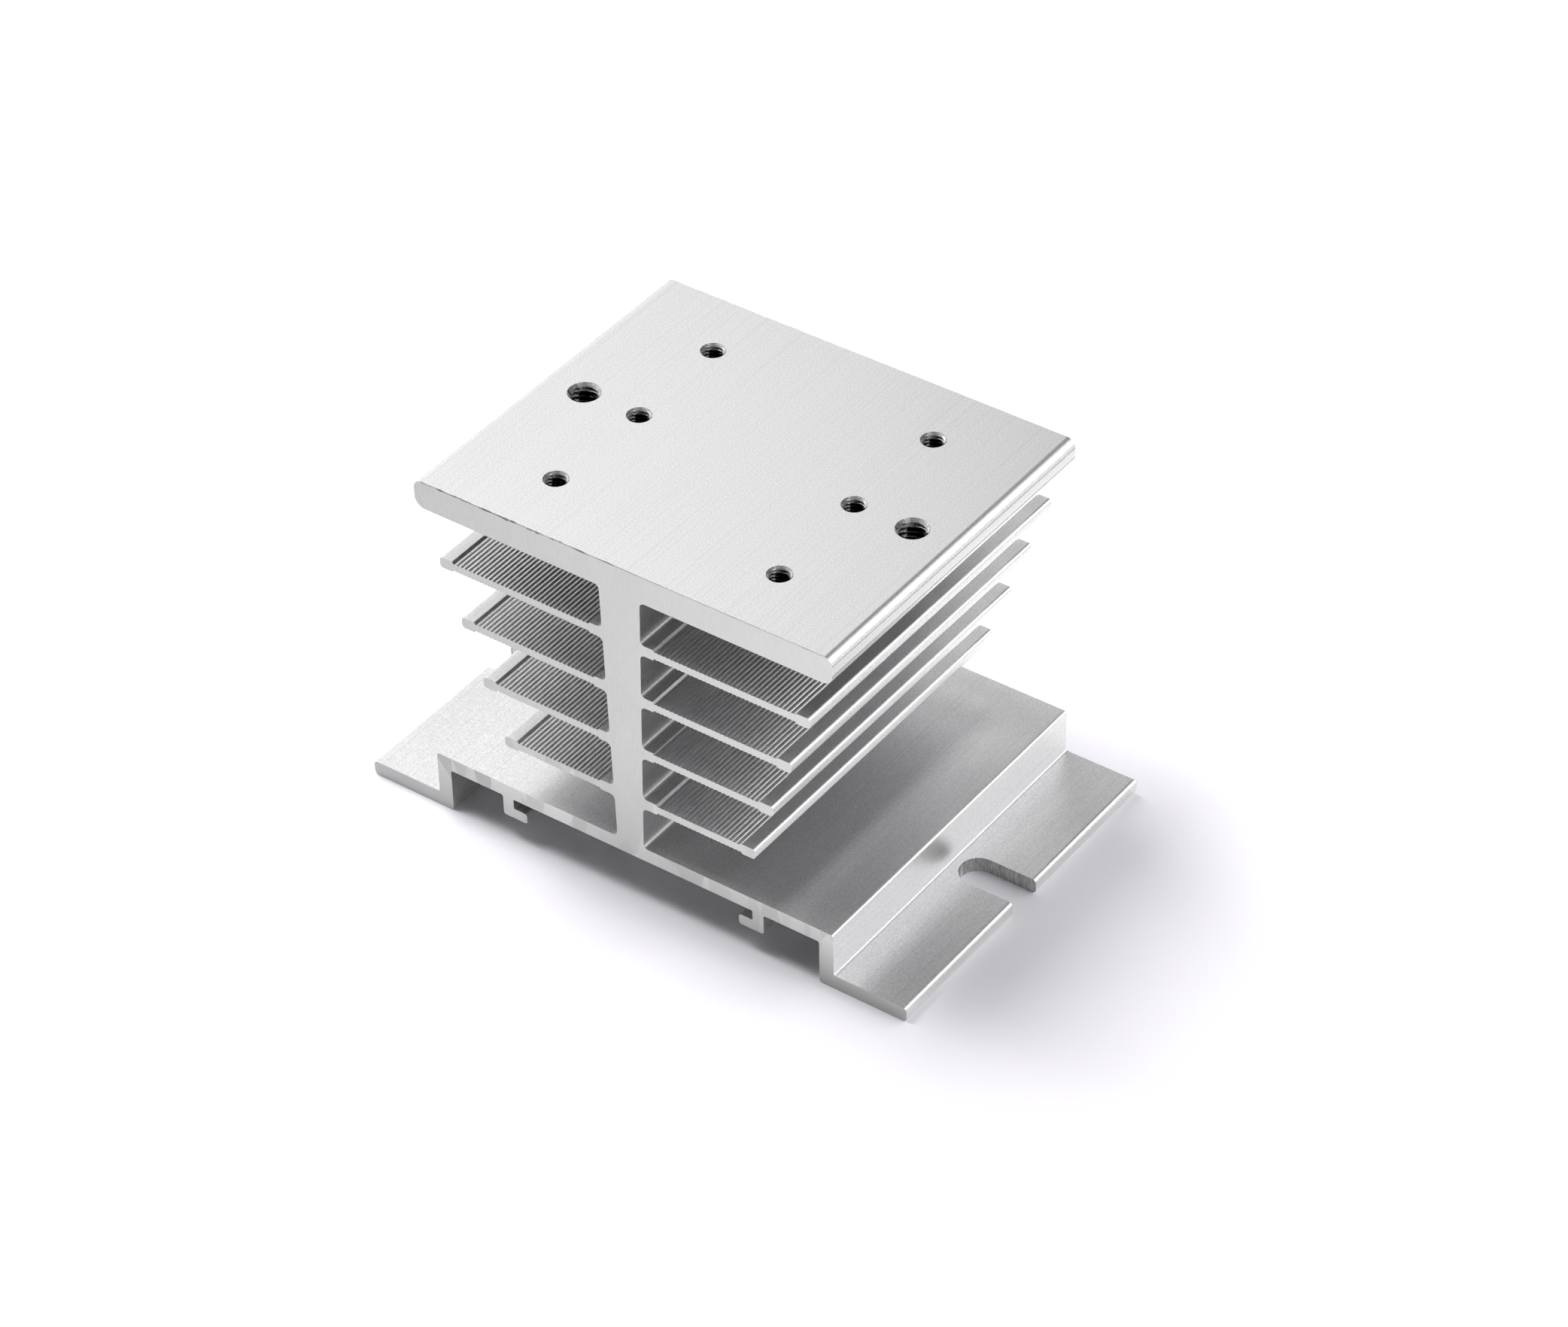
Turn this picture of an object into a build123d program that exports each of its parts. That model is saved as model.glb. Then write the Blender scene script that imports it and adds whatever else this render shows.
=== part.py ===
from build123d import *
import os

# Heat sink for a panel relay: one aluminium extrusion, cut to length, then drilled, tapped and slotted.
# X runs across the profile, Y along the extrusion, and Z up from the surface that the feet stand on.
# The origin is at the middle of the footprint. All sizes are in millimetres.

# Whole part
overall_height = 50.0
extrusion_length = 50.0

# Top plate, which the relay is screwed to
plate_width = 60.0
plate_thickness = 3.9
plate_top_edge_radius = 1.2
plate_bottom_edge_radius = 1.5

# Web, which narrows from the plate down to the base
web_top_width = 5.9
web_bottom_width = 3.9
web_corner_radius = 0.7

# Fins, listed from the top one down and evenly spaced between the plate and the base.
# The drop and the rise are to the middle of the fin next to the plate and of the one next to the base.
fin_count = 4
top_fin_drop = 7.0
lowest_fin_rise = 7.1
top_fin_width = 53.6
fin_width_step = 5.5
fin_thickness = 1.5
fin_tip_radius = 0.45

# Fine ribs on both faces of each fin, between a plain strip at the tip and a plain land at the root
rib_pitch = 0.6
rib_depth = 0.16
rib_crest_drop = 0.09
tip_strip_width = 1.85
root_land_width = 1.7

# Base plate, raised on two step walls
base_width = 59.2
base_top_height = 8.3
base_thickness = 1.95
step_wall_thickness = 2.05
base_edge_radius = 0.4

# Feet, with a slot in each for a panel screw
foot_span = 80.0
foot_thickness = 2.1
foot_edge_radius = 0.6
foot_heel_radius = 0.4
frame_corner_radius = 0.3
slot_width = 5.0
slot_to_step = 1.3

# Two hooks under the base, which take the flanges of a 35 mm mounting rail
hook_spread = 39.0
hook_wall_thickness = 1.6
hook_lip_reach = 2.0
hook_lip_thickness = 1.5
hook_groove_height = 1.45
hook_outer_radius = 0.35
hook_groove_radius = 0.15

# Tapped holes through the top plate: drilled to the thread's core size, with a mouth opened a little wider
# than the thread
wide_pair_spacing = 47.6
wide_pair_drill = 3.3
wide_pair_mouth = 4.2
near_pair_spacing = 31.2
corner_spacing_x = 32.2
corner_spacing_y = 31.2
small_hole_drill = 2.5
small_hole_mouth = 3.2
mouth_angle = 90

# Heights and half-widths that follow from the sizes above
plate_underside = overall_height - plate_thickness
base_underside = base_top_height - base_thickness
step_outer = base_width / 2
step_inner = step_outer - step_wall_thickness
foot_end = foot_span / 2
slot_depth = foot_end - step_outer - slot_to_step
top_fin_height = plate_underside - top_fin_drop
fin_pitch = (top_fin_height - base_top_height - lowest_fin_rise) / (fin_count - 1)
hook_outer = hook_spread / 2
hook_inner = hook_outer - hook_wall_thickness
hook_lip_end = hook_inner - hook_lip_reach
hook_lip_top = base_underside - hook_groove_height
hook_underside = hook_lip_top - hook_lip_thickness
same_place = 0.001


def web_half_width(height):
    """Half the web's width at a height: its two faces are straight from the base to the plate."""
    share = (height - base_top_height) / (plate_underside - base_top_height)
    return (web_bottom_width + share * (web_top_width - web_bottom_width)) / 2


def fin_middle(index):
    """Height of a fin's middle, counted from the top fin."""
    return top_fin_height - index * fin_pitch


def root_land(index):
    """The plain land that carries one fin on both sides of the web."""
    lowest_face = fin_middle(index) - fin_thickness / 2
    land_width = 2 * (web_half_width(lowest_face) + root_land_width)
    return Pos(0, fin_middle(index)) * Rectangle(land_width, fin_thickness)


def ribbed_face(outer_end, face_height, inward):
    """Points along one face of a fin, from its tip strip to its root land, with a groove at each pitch."""
    ribs_start = outer_end - tip_strip_width
    ribs_length = ribs_start - web_half_width(face_height) - root_land_width
    rib_count = round(ribs_length / rib_pitch)
    crest = face_height + inward * rib_crest_drop
    groove = crest + inward * rib_depth
    points = [(ribs_start, face_height)]
    for rib in range(rib_count):
        points.append((ribs_start - (rib + 0.5) * rib_pitch, groove))
        points.append((ribs_start - (rib + 1) * rib_pitch, crest))
    points[-1] = (ribs_start - rib_count * rib_pitch, face_height)
    return points


def fin_half(index):
    """The right half of one fin, from the web's middle to a tip with rounded corners."""
    outer_end = (top_fin_width - index * fin_width_step) / 2
    top = fin_middle(index) + fin_thickness / 2
    bottom = fin_middle(index) - fin_thickness / 2
    upper_face = ribbed_face(outer_end, top, -1)
    lower_face = ribbed_face(outer_end, bottom, 1)
    tip = [(outer_end, top), (outer_end, bottom)]
    outline = Polyline((0, top), *reversed(upper_face), *tip, *lower_face, (0, bottom), close=True)
    fin = make_face(outline)
    return fillet(fin.vertices().sort_by(Axis.X)[-len(tip):], fin_tip_radius)


def base_half():
    """The right half of the base, step wall, foot and rail hook, as corners with the die's radii."""
    corners = [
        ((0, base_top_height), 0),
        ((step_outer, base_top_height), base_edge_radius),
        ((step_outer, foot_thickness), frame_corner_radius),
        ((foot_end, foot_thickness), foot_edge_radius),
        ((foot_end, 0), foot_edge_radius),
        ((step_inner, 0), foot_heel_radius),
        ((step_inner, base_underside), frame_corner_radius),
        ((hook_outer, base_underside), frame_corner_radius),
        ((hook_outer, hook_underside), hook_outer_radius),
        ((hook_lip_end, hook_underside), hook_outer_radius),
        ((hook_lip_end, hook_lip_top), hook_outer_radius),
        ((hook_inner, hook_lip_top), hook_groove_radius),
        ((hook_inner, base_underside), hook_groove_radius),
        ((0, base_underside), 0),
    ]
    points = [point for point, radius in corners]
    radii = [radius for point, radius in corners]
    return make_face(FilletPolyline(*points, radius=radii, close=True))


def lies_on_web_face(corner):
    """True for a corner where the plate, a fin or the base meets a face of the web."""
    return abs(abs(corner.X) - web_half_width(corner.Y)) < same_place


def die_profile():
    """The whole section as it leaves the die, drawn flat with Y standing for height."""
    plate_middle = overall_height - plate_thickness / 2
    plate = Pos(0, plate_middle) * Rectangle(plate_width, plate_thickness)
    plate = fillet(plate.vertices().group_by(Axis.Y)[-1], plate_top_edge_radius)
    plate = fillet(plate.vertices().group_by(Axis.Y)[0], plate_bottom_edge_radius)
    web_side = [(web_half_width(height), height) for height in (base_top_height, plate_underside)]
    web_half = make_face(Polyline((0, base_top_height), *web_side, (0, plate_underside), close=True))
    lands = [root_land(index) for index in range(fin_count)]
    halves = [base_half(), web_half]
    frame = plate + lands + halves + mirror(halves, about=Plane.YZ)
    frame = fillet(frame.vertices().filter_by(lies_on_web_face), web_corner_radius)
    fins = [fin_half(index) for index in range(fin_count)]
    return frame + fins + mirror(fins, about=Plane.YZ)


def plate_holes(drill, mouth, places):
    """Cutters for through holes in the top plate at the given places, each with a tapered mouth."""
    cutter = CounterSinkHole(drill / 2, mouth / 2, plate_thickness + mouth - drill, mouth_angle)
    return [Pos(0, 0, overall_height) * place * cutter for place in places]


# The cut length of extrusion, lying with its length along Y
saw_plane = Plane.XZ.offset(-extrusion_length / 2)
blank = extrude(saw_plane * die_profile(), amount=extrusion_length)

# A slot in each foot, open at the foot's end and round at its inner end
slot_cutter = extrude(SlotOverall(2 * slot_depth, slot_width), amount=foot_thickness)
foot_slots = [Pos(x, 0) * slot_cutter for x in (foot_end, -foot_end)]

# Holes for the relay: a wide pair, a narrower pair in line with it, and four at the corners
wide_pair = plate_holes(wide_pair_drill, wide_pair_mouth, GridLocations(wide_pair_spacing, 0, 2, 1))
near_pair = plate_holes(small_hole_drill, small_hole_mouth, GridLocations(near_pair_spacing, 0, 2, 1))
corner_places = GridLocations(corner_spacing_x, corner_spacing_y, 2, 2)
corner_holes = plate_holes(small_hole_drill, small_hole_mouth, corner_places)

heat_sink = blank - (foot_slots + wide_pair + near_pair + corner_holes)

os.makedirs("parts", exist_ok=True)
export_step(heat_sink, "parts/heat_sink.step")
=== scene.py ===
import bpy
import math
from mathutils import Matrix, Quaternion, Vector, noise


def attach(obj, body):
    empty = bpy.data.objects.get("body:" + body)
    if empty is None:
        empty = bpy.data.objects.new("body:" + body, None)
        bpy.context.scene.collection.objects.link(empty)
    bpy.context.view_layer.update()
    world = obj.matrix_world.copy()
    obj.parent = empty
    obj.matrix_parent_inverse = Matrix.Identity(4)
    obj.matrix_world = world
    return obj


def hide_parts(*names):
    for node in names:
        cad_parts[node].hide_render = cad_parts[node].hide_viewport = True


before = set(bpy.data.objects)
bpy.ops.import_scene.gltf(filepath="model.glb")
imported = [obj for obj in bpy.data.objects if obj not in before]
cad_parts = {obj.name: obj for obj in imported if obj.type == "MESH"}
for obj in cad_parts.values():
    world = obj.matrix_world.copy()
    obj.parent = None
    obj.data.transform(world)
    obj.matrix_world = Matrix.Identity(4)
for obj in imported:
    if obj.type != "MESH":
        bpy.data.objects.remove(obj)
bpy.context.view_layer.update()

# The heat sink: one cut length of extruded aluminium, satin etched and clear anodised.
# Its shape is the CAD solid's. The die leaves every rib on the fins with a round crest that runs down to a
# narrow groove, so each crest is rounded here over the whole rib.
millimetre = 0.001
half_length = 25 * millimetre
same_place = 0.001 * millimetre
flat_angle = math.radians(0.5)
# Each fin's middle height and half width, in mm. Ribs stop short of its plain tip strip, and lie between the
# nearest and furthest distances from its middle. Crests are those further out than crest_distance.
fins = [(39.1, 26.8), (31.2, 24.05), (23.3, 21.3), (15.4, 18.55)]
tip_strip = 1.8
nearest_rib, furthest_rib = 0.4, 0.74
crest_distance = 0.58
rib_overshoot = 0.06 * millimetre
rib_rounding = 0.39 * millimetre
rib_facets = 6


def runs_full_length(near, far):
    """True for an edge that the die drew, from one sawn end to the other."""
    return abs(far.y - near.y) > 2 * half_length - millimetre


def rib_offset(point):
    """How far a rib's crest or groove lies from its fin's middle, in mm, or 0 for a point off the ribs."""
    for middle, half_width in fins:
        offset = point.z / millimetre - middle
        on_ribs = abs(point.x) / millimetre < half_width - tip_strip
        if on_ribs and nearest_rib < abs(offset) < furthest_rib:
            return offset
    return 0


bpy.ops.object.select_all(action="DESELECT")
heat_sink = bpy.data.objects.new("extruded_heat_sink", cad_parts["heat_sink"].data.copy())
bpy.context.scene.collection.objects.link(heat_sink)
heat_sink.select_set(True)
bpy.context.view_layer.objects.active = heat_sink
bpy.ops.mesh.customdata_custom_splitnormals_clear()
bpy.ops.object.mode_set(mode="EDIT")
bpy.ops.mesh.select_all(action="SELECT")
bpy.ops.mesh.remove_doubles(threshold=same_place)
bpy.ops.mesh.dissolve_limited(angle_limit=flat_angle)
bpy.ops.mesh.select_mode(type="EDGE")
bpy.ops.mesh.select_all(action="DESELECT")
bpy.ops.object.mode_set(mode="OBJECT")
for vertex in heat_sink.data.vertices:
    offset = rib_offset(vertex.co)
    if offset:
        is_crest = abs(offset) > crest_distance
        vertex.co.z += math.copysign(rib_overshoot, offset if is_crest else -offset)
for edge in heat_sink.data.edges:
    near, far = (heat_sink.data.vertices[i].co for i in edge.vertices)
    edge.select = runs_full_length(near, far) and abs(rib_offset(near)) > crest_distance
bpy.ops.object.mode_set(mode="EDIT")
bpy.ops.mesh.bevel(offset=rib_rounding, segments=rib_facets, affect="EDGES")
bpy.ops.mesh.select_all(action="DESELECT")
bpy.ops.object.mode_set(mode="OBJECT")


def linear(hex_colour):
    """An sRGB hex colour as the linear colour that a shader works in."""
    channels = [int(hex_colour[i:i + 2], 16) / 255 for i in (1, 3, 5)]
    return [c / 12.92 if c <= 0.04045 else ((c + 0.055) / 1.055) ** 2.4 for c in channels] + [1]


def add_node(tree, kind, links=None, **settings):
    """Adds a node with its own settings. links gives its inputs, by name or number, a socket or a value."""
    node = tree.nodes.new(kind)
    for name, value in settings.items():
        setattr(node, name, value)
    for key, value in (links or {}).items():
        if isinstance(value, bpy.types.NodeSocket):
            tree.links.new(value, node.inputs[key])
        else:
            node.inputs[key].default_value = value
    return node


# Satin anodised aluminium, as it came from the die: etched matt, so the eye sees a soft even grey with a fine
# sandy grain, and long faint lines along the extrusion where the die dragged. The scales count patterns to a
# metre: a grain is 0.18 mm and a line 0.22 mm wide, coarser than the real etch, so that they show.
micrometre = 0.001 * millimetre
grain_scale = (5500, 5500, 5500)
line_scale = (4500, 10, 4500)
anodised_skin = bpy.data.materials.new("satin_anodised_extruded_aluminium")
anodised_skin.use_nodes = True
tree = anodised_skin.node_tree
skin = tree.nodes["Principled BSDF"]
skin.inputs["Metallic"].default_value = 1.0
place = add_node(tree, "ShaderNodeTexCoord").outputs["Object"]
grain_place = add_node(tree, "ShaderNodeMapping", {"Vector": place, "Scale": grain_scale})
grain = add_node(tree, "ShaderNodeTexNoise", {"Vector": grain_place.outputs[0], "Scale": 1.0, "Detail": 2.0})
grain_shade = add_node(tree, "ShaderNodeMapRange", {
    "Value": grain.outputs["Fac"], "From Min": 0.3, "From Max": 0.7})
etched_colour = add_node(tree, "ShaderNodeMix", {
    0: grain_shade.outputs[0], 6: linear("#C4C4C5"), 7: linear("#E0E0E1")}, data_type="RGBA")
line_place = add_node(tree, "ShaderNodeMapping", {"Vector": place, "Scale": line_scale})
die_lines = add_node(tree, "ShaderNodeTexNoise", {
    "Vector": line_place.outputs[0], "Scale": 1.0, "Detail": 3.0})
line_shade = add_node(tree, "ShaderNodeMapRange", {
    "Value": die_lines.outputs["Fac"], "From Min": 0.5, "From Max": 0.75, "To Min": 0.0, "To Max": 0.3})
skin_colour = add_node(tree, "ShaderNodeMix", {
    0: line_shade.outputs[0], 6: etched_colour.outputs[2], 7: linear("#AEAEAF")}, data_type="RGBA")
gloss = add_node(tree, "ShaderNodeMapRange", {"Value": grain.outputs["Fac"], "To Min": 0.33, "To Max": 0.41})
grain_relief = add_node(tree, "ShaderNodeBump", {
    "Height": grain.outputs["Fac"], "Strength": 0.5, "Distance": 8 * micrometre})
line_relief = add_node(tree, "ShaderNodeBump", {
    "Height": die_lines.outputs["Fac"], "Strength": 0.04, "Distance": 6 * micrometre,
    "Normal": grain_relief.outputs[0]})
tree.links.new(skin_colour.outputs[2], skin.inputs["Base Color"])
tree.links.new(gloss.outputs[0], skin.inputs["Roughness"])
tree.links.new(line_relief.outputs[0], skin.inputs["Normal"])
heat_sink.data.materials.clear()
heat_sink.data.materials.append(anodised_skin)

# The ends were cut with a circular saw after the die: bare metal, with faint marks from the teeth, 0.2 mm
# wide and 2 mm high. Their colour is painted darker towards the left and towards the feet: painted shade,
# where the fronts mirror a darker floor. From the lowest fin down it chattered and left patches 2 mm wide
# that end abruptly. The turns only move each pattern to another part of its noise, because the Mapping
# node scales before it turns.
tooth_turn = math.radians(62)
tooth_scale = (5000, 5000, 500)
patch_turn = math.radians(35)
patch_scale = (450, 450, 150)
sawn_metal = bpy.data.materials.new("sawn_bare_aluminium")
sawn_metal.use_nodes = True
tree = sawn_metal.node_tree
sawn = tree.nodes["Principled BSDF"]
sawn.inputs["Metallic"].default_value = 1.0
place = add_node(tree, "ShaderNodeTexCoord").outputs["Object"]
axes = add_node(tree, "ShaderNodeSeparateXYZ", {"Vector": place})
across, height = axes.outputs["X"], axes.outputs["Z"]
tooth_place = add_node(tree, "ShaderNodeMapping", {
    "Vector": place, "Rotation": (0, tooth_turn, 0), "Scale": tooth_scale})
tooth_marks = add_node(tree, "ShaderNodeTexNoise", {
    "Vector": tooth_place.outputs[0], "Scale": 1.0, "Detail": 4.0})
tooth_shade = add_node(tree, "ShaderNodeMapRange", {
    "Value": tooth_marks.outputs["Fac"], "From Min": -0.5, "From Max": 1.5})
patch_place = add_node(tree, "ShaderNodeMapping", {
    "Vector": place, "Rotation": (0, patch_turn, 0), "Scale": patch_scale})
patches = add_node(tree, "ShaderNodeTexVoronoi", {"Vector": patch_place.outputs[0], "Scale": 1.0})
patch_shade = add_node(tree, "ShaderNodeSeparateColor", {"Color": patches.outputs["Color"]})
chattered = add_node(tree, "ShaderNodeMapRange", {
    "Value": height, "From Min": 20 * millimetre, "From Max": 10 * millimetre,
    "To Min": 0.05, "To Max": 0.75})
sawn_shade = add_node(tree, "ShaderNodeMix", {
    0: chattered.outputs[0], 2: tooth_shade.outputs[0], 3: patch_shade.outputs["Red"]})
# Painted shade: the left of each sawn face takes the darker colours, the right the lighter ones.
shaded_left_colour = add_node(tree, "ShaderNodeMix", {
    0: sawn_shade.outputs[0], 6: linear("#888889"), 7: linear("#B4B4B5")}, data_type="RGBA")
right_side_colour = add_node(tree, "ShaderNodeMix", {
    0: sawn_shade.outputs[0], 6: linear("#A6A6A7"), 7: linear("#C4C4C5")}, data_type="RGBA")
painted_shade_across = add_node(tree, "ShaderNodeMapRange", {
    "Value": across, "From Min": -30 * millimetre, "From Max": 30 * millimetre})
sawn_colour = add_node(tree, "ShaderNodeMix", {
    0: painted_shade_across.outputs[0], 6: shaded_left_colour.outputs[2], 7: right_side_colour.outputs[2]}, data_type="RGBA")
# Painted shade: darker towards the feet, down to #989899 at 1 mm.
painted_shade_to_feet = add_node(tree, "ShaderNodeMapRange", {
    "Value": height, "From Min": 8 * millimetre, "From Max": 1 * millimetre})
end_colour = add_node(tree, "ShaderNodeMix", {
    0: painted_shade_to_feet.outputs[0], 6: sawn_colour.outputs[2], 7: linear("#989899")}, data_type="RGBA")
mark_relief = add_node(tree, "ShaderNodeBump", {
    "Height": tooth_marks.outputs["Fac"], "Strength": 0.04, "Distance": 6 * micrometre})
tree.links.new(end_colour.outputs[2], sawn.inputs["Base Color"])
tree.links.new(mark_relief.outputs[0], sawn.inputs["Normal"])
sawn.inputs["Roughness"].default_value = 0.36
heat_sink.data.materials.append(sawn_metal)

# The slots in the feet were punched: their walls are torn bare metal, dull and dark, with an upright grain
# that is 0.14 mm wide and 1.1 mm long. The saw left the same torn metal along the plate's top edges. The turn
# only moves the pattern to another part of its noise.
tear_turn = math.radians(12)
tear_scale = (7000, 7000, 900)
torn_metal = bpy.data.materials.new("punched_bare_aluminium")
torn_metal.use_nodes = True
tree = torn_metal.node_tree
torn = tree.nodes["Principled BSDF"]
torn.inputs["Metallic"].default_value = 1.0
torn.inputs["Roughness"].default_value = 0.5
place = add_node(tree, "ShaderNodeTexCoord").outputs["Object"]
tear_place = add_node(tree, "ShaderNodeMapping", {
    "Vector": place, "Rotation": (0, tear_turn, 0), "Scale": tear_scale})
tears = add_node(tree, "ShaderNodeTexNoise", {"Vector": tear_place.outputs[0], "Scale": 1.0, "Detail": 4.0})
torn_shade = add_node(tree, "ShaderNodeMapRange", {
    "Value": tears.outputs["Fac"], "From Min": 0.35, "From Max": 0.65})
torn_colour = add_node(tree, "ShaderNodeMix", {
    0: torn_shade.outputs[0], 6: linear("#8C8C8D"), 7: linear("#BCBCBD")}, data_type="RGBA")
tear_relief = add_node(tree, "ShaderNodeBump", {
    "Height": tears.outputs["Fac"], "Strength": 0.8, "Distance": 20 * micrometre})
tree.links.new(torn_colour.outputs[2], torn.inputs["Base Color"])
tree.links.new(tear_relief.outputs[0], torn.inputs["Normal"])
heat_sink.data.materials.append(torn_metal)

# The tapped holes: M4 for the wide pair and M3 for the others, with mouths opened by a countersink. The tap
# cut a smooth surface that glints here and there, with tool marks 0.1 mm wide. Its colour is darker than
# bare aluminium's: painted shade, in the holes and on their mouths, to be as dark as the holes in the
# photograph. Each hole is cut with a tap-shaped solid, a cylinder with the thread's ridge standing on it, so
# the threads are real grooves.
mark_scale = (9000, 9000, 9000)
shaded_cut_metal = bpy.data.materials.new("tap_cut_aluminium_painted_shade")
shaded_cut_metal.use_nodes = True
tree = shaded_cut_metal.node_tree
cut = tree.nodes["Principled BSDF"]
cut.inputs["Metallic"].default_value = 1.0
cut.inputs["Roughness"].default_value = 0.12
place = add_node(tree, "ShaderNodeTexCoord").outputs["Object"]
mark_place = add_node(tree, "ShaderNodeMapping", {"Vector": place, "Scale": mark_scale})
tap_marks = add_node(tree, "ShaderNodeTexNoise", {
    "Vector": mark_place.outputs[0], "Scale": 1.0, "Detail": 2.0})
# Painted shade: the tap-cut metal's dark colour stands in for the shade inside the holes.
painted_shade_cut_colour = add_node(tree, "ShaderNodeMix", {
    0: tap_marks.outputs["Fac"], 6: linear("#38383A"), 7: linear("#4C4C4D")}, data_type="RGBA")
tap_relief = add_node(tree, "ShaderNodeBump", {
    "Height": tap_marks.outputs["Fac"], "Strength": 0.3, "Distance": 5 * micrometre})
tree.links.new(painted_shade_cut_colour.outputs[2], cut.inputs["Base Color"])
tree.links.new(tap_relief.outputs[0], cut.inputs["Normal"])
heat_sink.data.materials.append(shaded_cut_metal)

# The threads and the spacings of the holes are in mm. A core is just wider than the solid's plain hole.
plate_top = 50 * millimetre
plate_underside = 46.1 * millimetre
m4 = {"outer": 4.0, "pitch": 0.7, "core": 3.34}
m3 = {"outer": 3.0, "pitch": 0.5, "core": 2.54}
wide_spacing = 47.6
near_spacing = 31.2
corner_x, corner_y = 32.2, 31.2
wide_pair = [(x, 0, m4) for x in (-wide_spacing / 2, wide_spacing / 2)]
near_pair = [(x, 0, m3) for x in (-near_spacing / 2, near_spacing / 2)]
corner_four = [(x, y, m3) for x in (-corner_x / 2, corner_x / 2) for y in (-corner_y / 2, corner_y / 2)]
holes = wide_pair + near_pair + corner_four

# The metal under each face: sawn at the ends, punched in the slots and cut at the mouths of the holes. What a
# normal gives for an axis is 1 where the face is square to that axis and 0 where it runs along it.
sawn_slot, torn_slot, shaded_cut_slot = 1, 2, 3
cut_depth = 0.4 * millimetre
beyond_step = 29.7 * millimetre
slot_reach = 3 * millimetre
mouth_reach = 2.2 * millimetre
turned_to_end, square_on, level, upright = 0.3, 0.999, 0.95, 0.1
for face in heat_sink.data.polygons:
    middle, normal = face.center, face.normal
    at_end = abs(middle.y) > half_length - cut_depth and abs(normal.y) > turned_to_end
    in_slot = abs(middle.x) > beyond_step and abs(middle.y) < slot_reach
    is_slot_wall = abs(normal.x) < square_on and abs(normal.z) < upright
    distances = [math.dist(middle.xy, (x * millimetre, y * millimetre)) for x, y, thread in holes]
    is_mouth = middle.z > plate_underside + same_place and abs(normal.z) < level
    if at_end:
        face.material_index = sawn_slot
    elif in_slot and is_slot_wall:
        face.material_index = torn_slot
    # The mouths take the tap-cut metal, whose dark colour is painted shade.
    elif min(distances) < mouth_reach and is_mouth:
        face.material_index = shaded_cut_slot

# The taps. The ridge's foot is twice ridge_foot wide, as a share of the pitch. Its two sides would rise to
# ridge_rise times its height, and its top is cut off flat.
tap_overrun = 0.6 * millimetre
tap_facets = 48
rings_per_turn = 8
ridge_foot = 0.4
ridge_rise = 1.15
taps = []
for x, y, thread in holes:
    length = plate_top - plate_underside + 2 * tap_overrun
    rings = round(length / (thread["pitch"] * millimetre) * rings_per_turn)
    core_radius = thread["core"] / 2
    thread_depth = (thread["outer"] - thread["core"]) / 2
    bpy.ops.object.select_all(action="DESELECT")
    bpy.ops.mesh.primitive_cylinder_add(vertices=tap_facets, radius=core_radius * millimetre, depth=length)
    tap = bpy.context.object
    bpy.ops.object.mode_set(mode="EDIT")
    bpy.ops.mesh.select_mode(type="EDGE")
    bpy.ops.mesh.select_all(action="DESELECT")
    bpy.ops.object.mode_set(mode="OBJECT")
    for edge in tap.data.edges:
        low, high = (tap.data.vertices[i].co for i in edge.vertices)
        edge.select = abs(high.z - low.z) > length / 2
    bpy.ops.object.mode_set(mode="EDIT")
    bpy.ops.mesh.subdivide(number_cuts=rings - 1)
    bpy.ops.object.mode_set(mode="OBJECT")
    for vertex in tap.data.vertices:
        turn = math.atan2(vertex.co.y, vertex.co.x) / math.tau
        along = (vertex.co.z / (thread["pitch"] * millimetre) - turn) % 1
        ridge = max(0, 1 - abs(along - 0.5) / ridge_foot)
        radius = (core_radius + thread_depth * min(1, ridge * ridge_rise)) * millimetre
        vertex.co.x, vertex.co.y = vertex.co.xy.normalized() * radius
    middle = Vector((x * millimetre, y * millimetre, (plate_top + plate_underside) / 2))
    tap.data.transform(Matrix.Translation(middle))
    tap.data.materials.append(shaded_cut_metal)
    taps.append(tap)
bpy.ops.object.select_all(action="DESELECT")
for tap in taps:
    tap.select_set(True)
bpy.context.view_layer.objects.active = taps[0]
bpy.ops.object.join()
tap_set = bpy.context.object
bpy.ops.object.select_all(action="DESELECT")
heat_sink.select_set(True)
bpy.context.view_layer.objects.active = heat_sink
tapping = heat_sink.modifiers.new("tapping", "BOOLEAN")
tapping.operation = "DIFFERENCE"
tapping.solver = "EXACT"
tapping.object = tap_set
bpy.ops.object.modifier_apply(modifier="tapping")
bpy.data.objects.remove(tap_set)

# The saw tore the plate's top edges: a thin ragged line, heavy on the left and almost gone on the right.
# Each edge is cut into short lengths and chamfered, then the chamfer's width is varied along it.
# Its sizes are in mm, the scales count waves to a millimetre, and the tear is heaviest up to -9 mm across the
# plate and lightest from 7 mm on.
plate_flat = 28.7 * millimetre
tear_pieces = 500
first_chamfer = 0.06 * millimetre
heaviest_at, lightest_at = -9, 7
lightest_share = 0.22
least_width = 0.03
coarse_width, coarse_scale = 0.28, 0.9
fine_width, fine_scale = 0.34, 7.3
top_seed, end_seed = 20, 40


def torn_width(x, seed):
    """How wide the sawn edge is torn at a place across the plate."""
    across = x / millimetre
    leftness = min(1, max(0, (lightest_at - across) / (lightest_at - heaviest_at)))
    heaviness = lightest_share + (1 - lightest_share) * leftness
    coarse = abs(noise.noise(Vector((across * coarse_scale, seed, 0))))
    fine = abs(noise.noise(Vector((across * fine_scale, seed, 9))))
    return (least_width + heaviness * (coarse_width * coarse + fine_width * fine)) * millimetre


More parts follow.
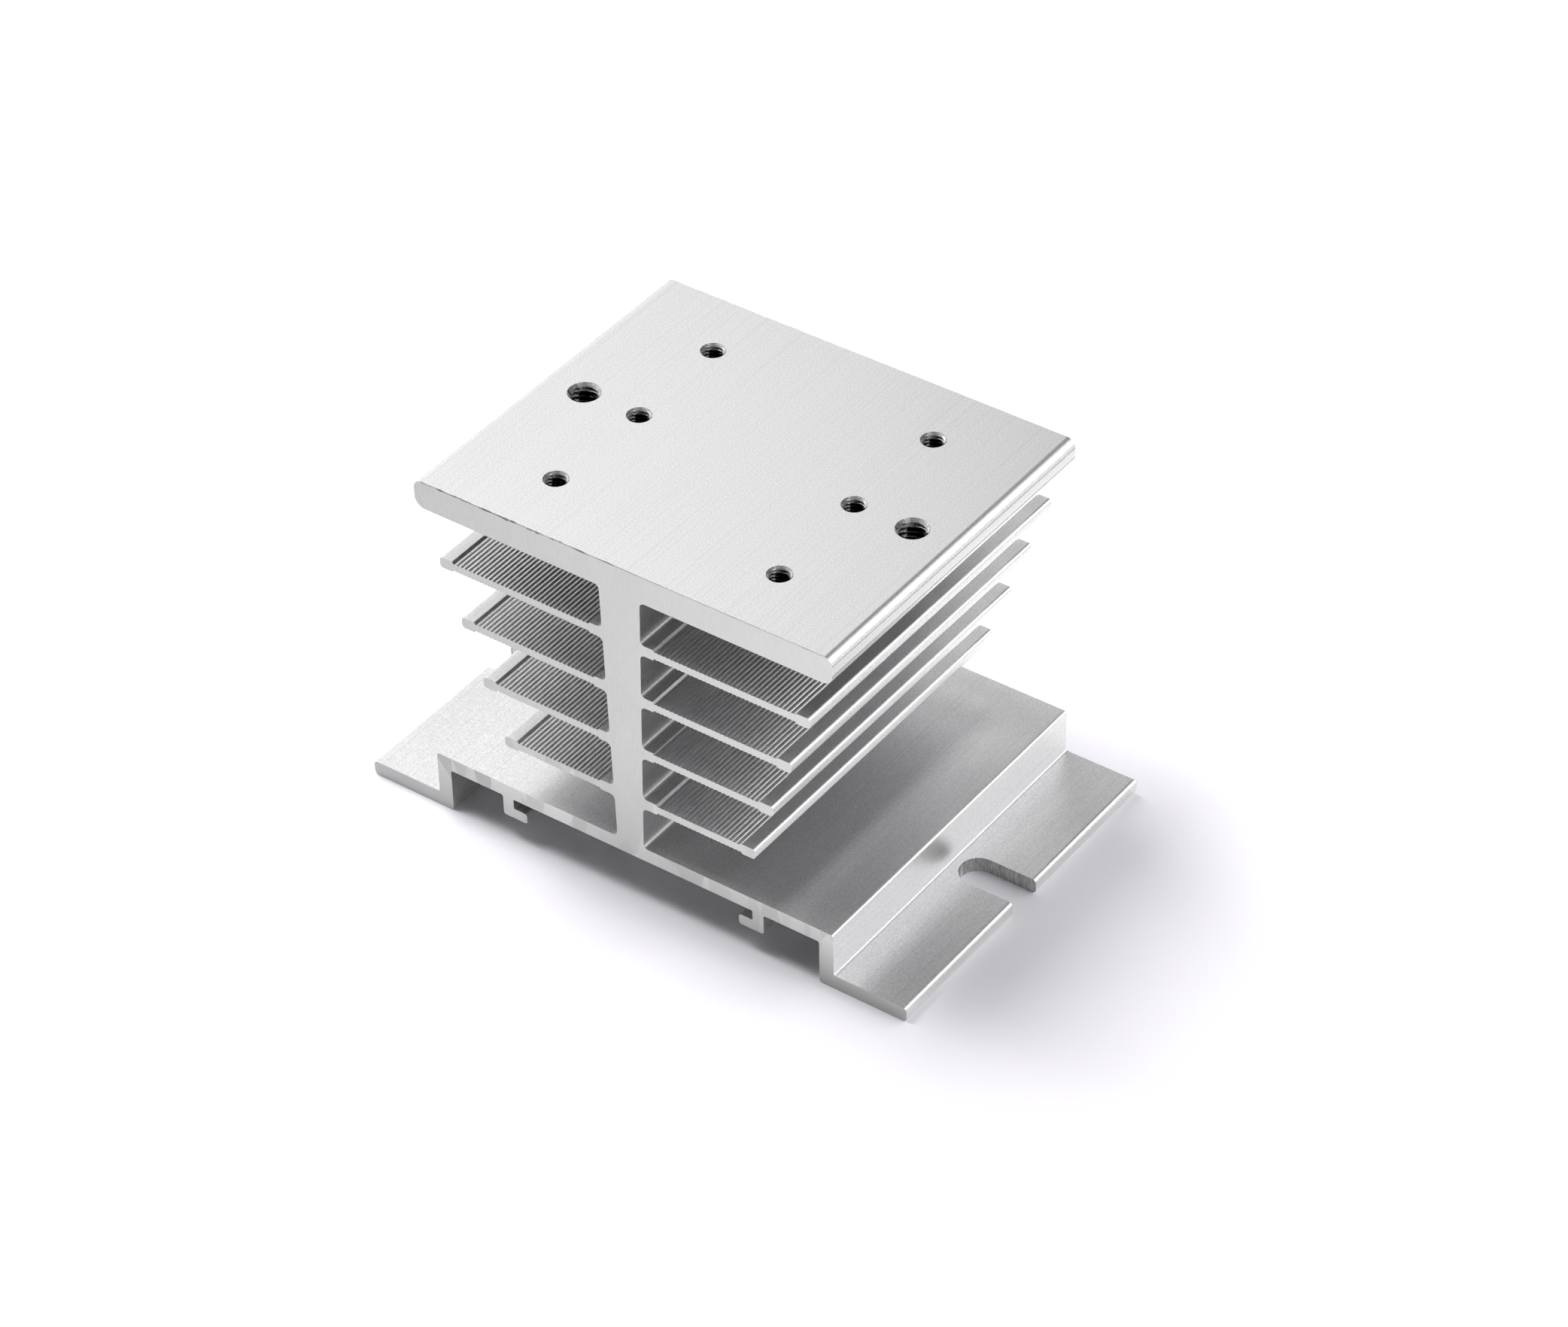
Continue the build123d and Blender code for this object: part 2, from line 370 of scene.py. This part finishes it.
for end in (-half_length, half_length):
    bpy.ops.object.mode_set(mode="EDIT")
    bpy.ops.mesh.select_mode(type="EDGE")
    bpy.ops.mesh.select_all(action="DESELECT")
    bpy.ops.object.mode_set(mode="OBJECT")
    for edge in heat_sink.data.edges:
        near, far = (heat_sink.data.vertices[i].co for i in edge.vertices)
        on_top = min(near.z, far.z) > plate_top - same_place
        edge.select = on_top and max(abs(near.y - end), abs(far.y - end)) < same_place
    bpy.ops.object.mode_set(mode="EDIT")
    bpy.ops.mesh.subdivide(number_cuts=tear_pieces)
    bpy.ops.mesh.bevel(offset=first_chamfer, segments=1, affect="EDGES")
    bpy.ops.object.mode_set(mode="OBJECT")
for vertex in heat_sink.data.vertices:
    point = vertex.co
    from_end = half_length - abs(point.y)
    from_top = plate_top - point.z
    if abs(point.x) < plate_flat and max(from_end, from_top) < 2 * first_chamfer:
        side = math.copysign(1, point.y)
        if from_top < same_place:
            point.y = side * (half_length - torn_width(point.x, top_seed + side) / 2)
        elif from_end < same_place:
            point.z = plate_top - torn_width(point.x, end_seed + side)
for face in heat_sink.data.polygons:
    if face.center.z > plate_top - millimetre and turned_to_end < abs(face.normal.y) < square_on:
        face.material_index = torn_slot

# The bevels leave a few faces of no width, which are dissolved. Faces with many corners, as round the holes,
# are split into well-shaped triangles, so that none of them folds onto its neighbour.
bpy.ops.object.mode_set(mode="EDIT")
bpy.ops.mesh.select_all(action="SELECT")
bpy.ops.mesh.dissolve_degenerate(threshold=same_place)
bpy.ops.mesh.remove_doubles(threshold=same_place)
bpy.ops.mesh.select_all(action="DESELECT")
bpy.ops.mesh.select_mode(type="FACE")
bpy.ops.mesh.select_face_by_sides(number=4, type="GREATER", extend=False)
bpy.ops.mesh.quads_convert_to_tris(ngon_method="BEAUTY")
bpy.ops.mesh.select_all(action="DESELECT")
bpy.ops.object.mode_set(mode="OBJECT")

# Level faces and sawn faces are shaded flat, so that the small facets beside them don't bend their light, and
# so is the torn edge.
flat_face = 0.9999
sharp_angle = math.radians(35)
bpy.ops.object.shade_smooth_by_angle(angle=sharp_angle)
for face in heat_sink.data.polygons:
    on_tear = face.center.z > plate_top - millimetre and abs(face.normal.y) > turned_to_end
    if on_tear or max(abs(face.normal.y), abs(face.normal.z)) > flat_face:
        face.use_smooth = False
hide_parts("heat_sink")
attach(heat_sink, "root")

# The floor is a plain white sheet. To the camera and in reflections it is overexposed a little, so that it
# goes white away from the shadow, and past the lamps' reach it is plain white. The shadow is faintly violet.
# On the right the sheet mirrors darker: painted shade in its reflections, as a black card beside it would
# give, so that the plate's side isn't washed out.
sheet_size = 4   # metres
faint_violet = (0.84, 0.827, 0.872, 1)
bpy.ops.object.select_all(action="DESELECT")
bpy.ops.mesh.primitive_plane_add(size=sheet_size)
floor = bpy.context.object
floor.name = "white_floor"
white_sheet = bpy.data.materials.new("white_paper_floor")
white_sheet.use_nodes = True
tree = white_sheet.node_tree
tree.nodes.remove(tree.nodes["Principled BSDF"])
rays = add_node(tree, "ShaderNodeLightPath")
mirrored = add_node(tree, "ShaderNodeMath", {
    0: rays.outputs["Is Glossy Ray"], 1: rays.outputs["Is Transmission Ray"]}, operation="MAXIMUM")
place = add_node(tree, "ShaderNodeTexCoord").outputs["Object"]
distance = add_node(tree, "ShaderNodeVectorMath", {0: place}, operation="LENGTH")
to_the_right = add_node(tree, "ShaderNodeSeparateXYZ", {"Vector": place}).outputs["X"]
# Painted shade in the floor's reflections: 1.15 up to 45 mm right of the middle, falling to 0.8 past 70 mm.
mirrored_painted_shade = add_node(tree, "ShaderNodeMapRange", {
    "Value": to_the_right, "From Min": 45 * millimetre, "From Max": 70 * millimetre,
    "To Min": 1.15, "To Max": 0.8})
sheet_colour = add_node(tree, "ShaderNodeMix", {
    0: mirrored.outputs[0], 6: linear("#EDECEE"), 7: mirrored_painted_shade.outputs[0]}, data_type="RGBA")
seen_colour = add_node(tree, "ShaderNodeMix", {
    0: rays.outputs["Is Camera Ray"], 6: sheet_colour.outputs[2], 7: faint_violet}, data_type="RGBA")
sheet = add_node(tree, "ShaderNodeBsdfDiffuse", {"Color": seen_colour.outputs[2]})
white_out = add_node(tree, "ShaderNodeEmission", {"Color": (1, 1, 1, 1), "Strength": 1.0})
out_of_reach = add_node(tree, "ShaderNodeMapRange", {
    "Value": distance.outputs["Value"], "From Min": 150 * millimetre, "From Max": 350 * millimetre})
seen = add_node(tree, "ShaderNodeMath", {
    0: rays.outputs["Is Camera Ray"], 1: mirrored.outputs[0]}, operation="MAXIMUM")
seen_far = add_node(tree, "ShaderNodeMath", {
    0: out_of_reach.outputs[0], 1: seen.outputs[0]}, operation="MULTIPLY")
paper = add_node(tree, "ShaderNodeMixShader", {
    0: seen_far.outputs[0], 1: sheet.outputs[0], 2: white_out.outputs[0]})
tree.links.new(paper.outputs[0], tree.nodes["Material Output"].inputs["Surface"])
floor.data.materials.append(white_sheet)

# Soft studio light. Two key lamps stand high on the left and throw the shadow to the right, and a large one
# beside them fills. Low cards on the left light the fronts and the crests of the ribs, and soft boxes on the
# right and behind give every edge something bright to mirror.
soft_boxes = [   # place, then width and height, both in metres, then radiance
    ((-0.24, 0.0, 0.55), (0.26, 0.20), 9.6),
    ((-0.20, -0.08, 0.55), (0.20, 0.20), 7.3),
    ((-0.35, -0.12, 0.40), (0.25, 0.25), 0.8),
    ((-0.36, 0.04, 0.36), (0.25, 0.25), 6.5),
    ((-0.48, -0.08, 0.11), (0.60, 0.30), 0.85),
    ((-0.37, 0.29, 0.18), (0.30, 0.14), 1.8),
    ((-0.25, 0.25, 0.30), (0.30, 0.30), 0.15),
    ((-0.19, 0.27, 0.31), (0.16, 0.16), 1.1),
    ((-0.08, 0.40, 0.50), (0.40, 0.30), 0.25),
    ((0.26, 0.39, 0.30), (0.34, 0.30), 2.2),
    ((0.36, 0.30, 0.13), (0.30, 0.12), 2.2),
    ((0.38, 0.16, 0.42), (0.25, 0.25), 3.0),
    ((0.45, 0.0, 0.25), (0.30, 0.30), 3.0),
    ((0.45, 0.0, 0.12), (0.30, 0.20), 1.6),
]
subject = Vector((0, 0, 0.03))
for number, (lamp_place, (width, height), radiance) in enumerate(soft_boxes, 1):
    bpy.ops.object.light_add(type="AREA", location=lamp_place)
    lamp = bpy.context.object
    lamp.name = f"soft_box_{number}"
    lamp.data.shape = "RECTANGLE"
    lamp.data.size = width
    lamp.data.size_y = height
    lamp.data.energy = radiance * math.pi * width * height
    lamp.rotation_euler = (subject - Vector(lamp_place)).to_track_quat("-Z", "Y").to_euler()
    lamp.visible_camera = False

# The room is dark, so that the metal mirrors only the lamps and the floor, but a camera that looks past the
# floor sees a white backdrop.
room = bpy.data.worlds.new("dark_studio_white_backdrop")
bpy.context.scene.world = room
room.use_nodes = True
rays = add_node(room.node_tree, "ShaderNodeLightPath")
backdrop = room.node_tree.nodes["Background"]
backdrop.inputs["Color"].default_value = (1, 1, 1, 1)
room.node_tree.links.new(rays.outputs["Is Camera Ray"], backdrop.inputs["Strength"])

# The camera stands where the photograph was taken from.
camera_place = Vector((0.28893, -0.38637, 0.40930))
aim = Vector((0.00497, 0.0, 0.02136))
roll = math.radians(-1.252)
bpy.ops.object.camera_add(location=camera_place)
camera = bpy.context.object
camera.data.sensor_fit = "HORIZONTAL"
camera.data.sensor_width = 36
camera.data.lens = 117.411
camera.data.clip_start = 0.01
camera.data.clip_end = 10
facing = (aim - camera_place).to_track_quat("-Z", "Y") @ Quaternion((0, 0, 1), roll)
camera.rotation_euler = facing.to_euler()
bpy.context.scene.camera = camera
bpy.context.scene.view_settings.view_transform = "Standard"
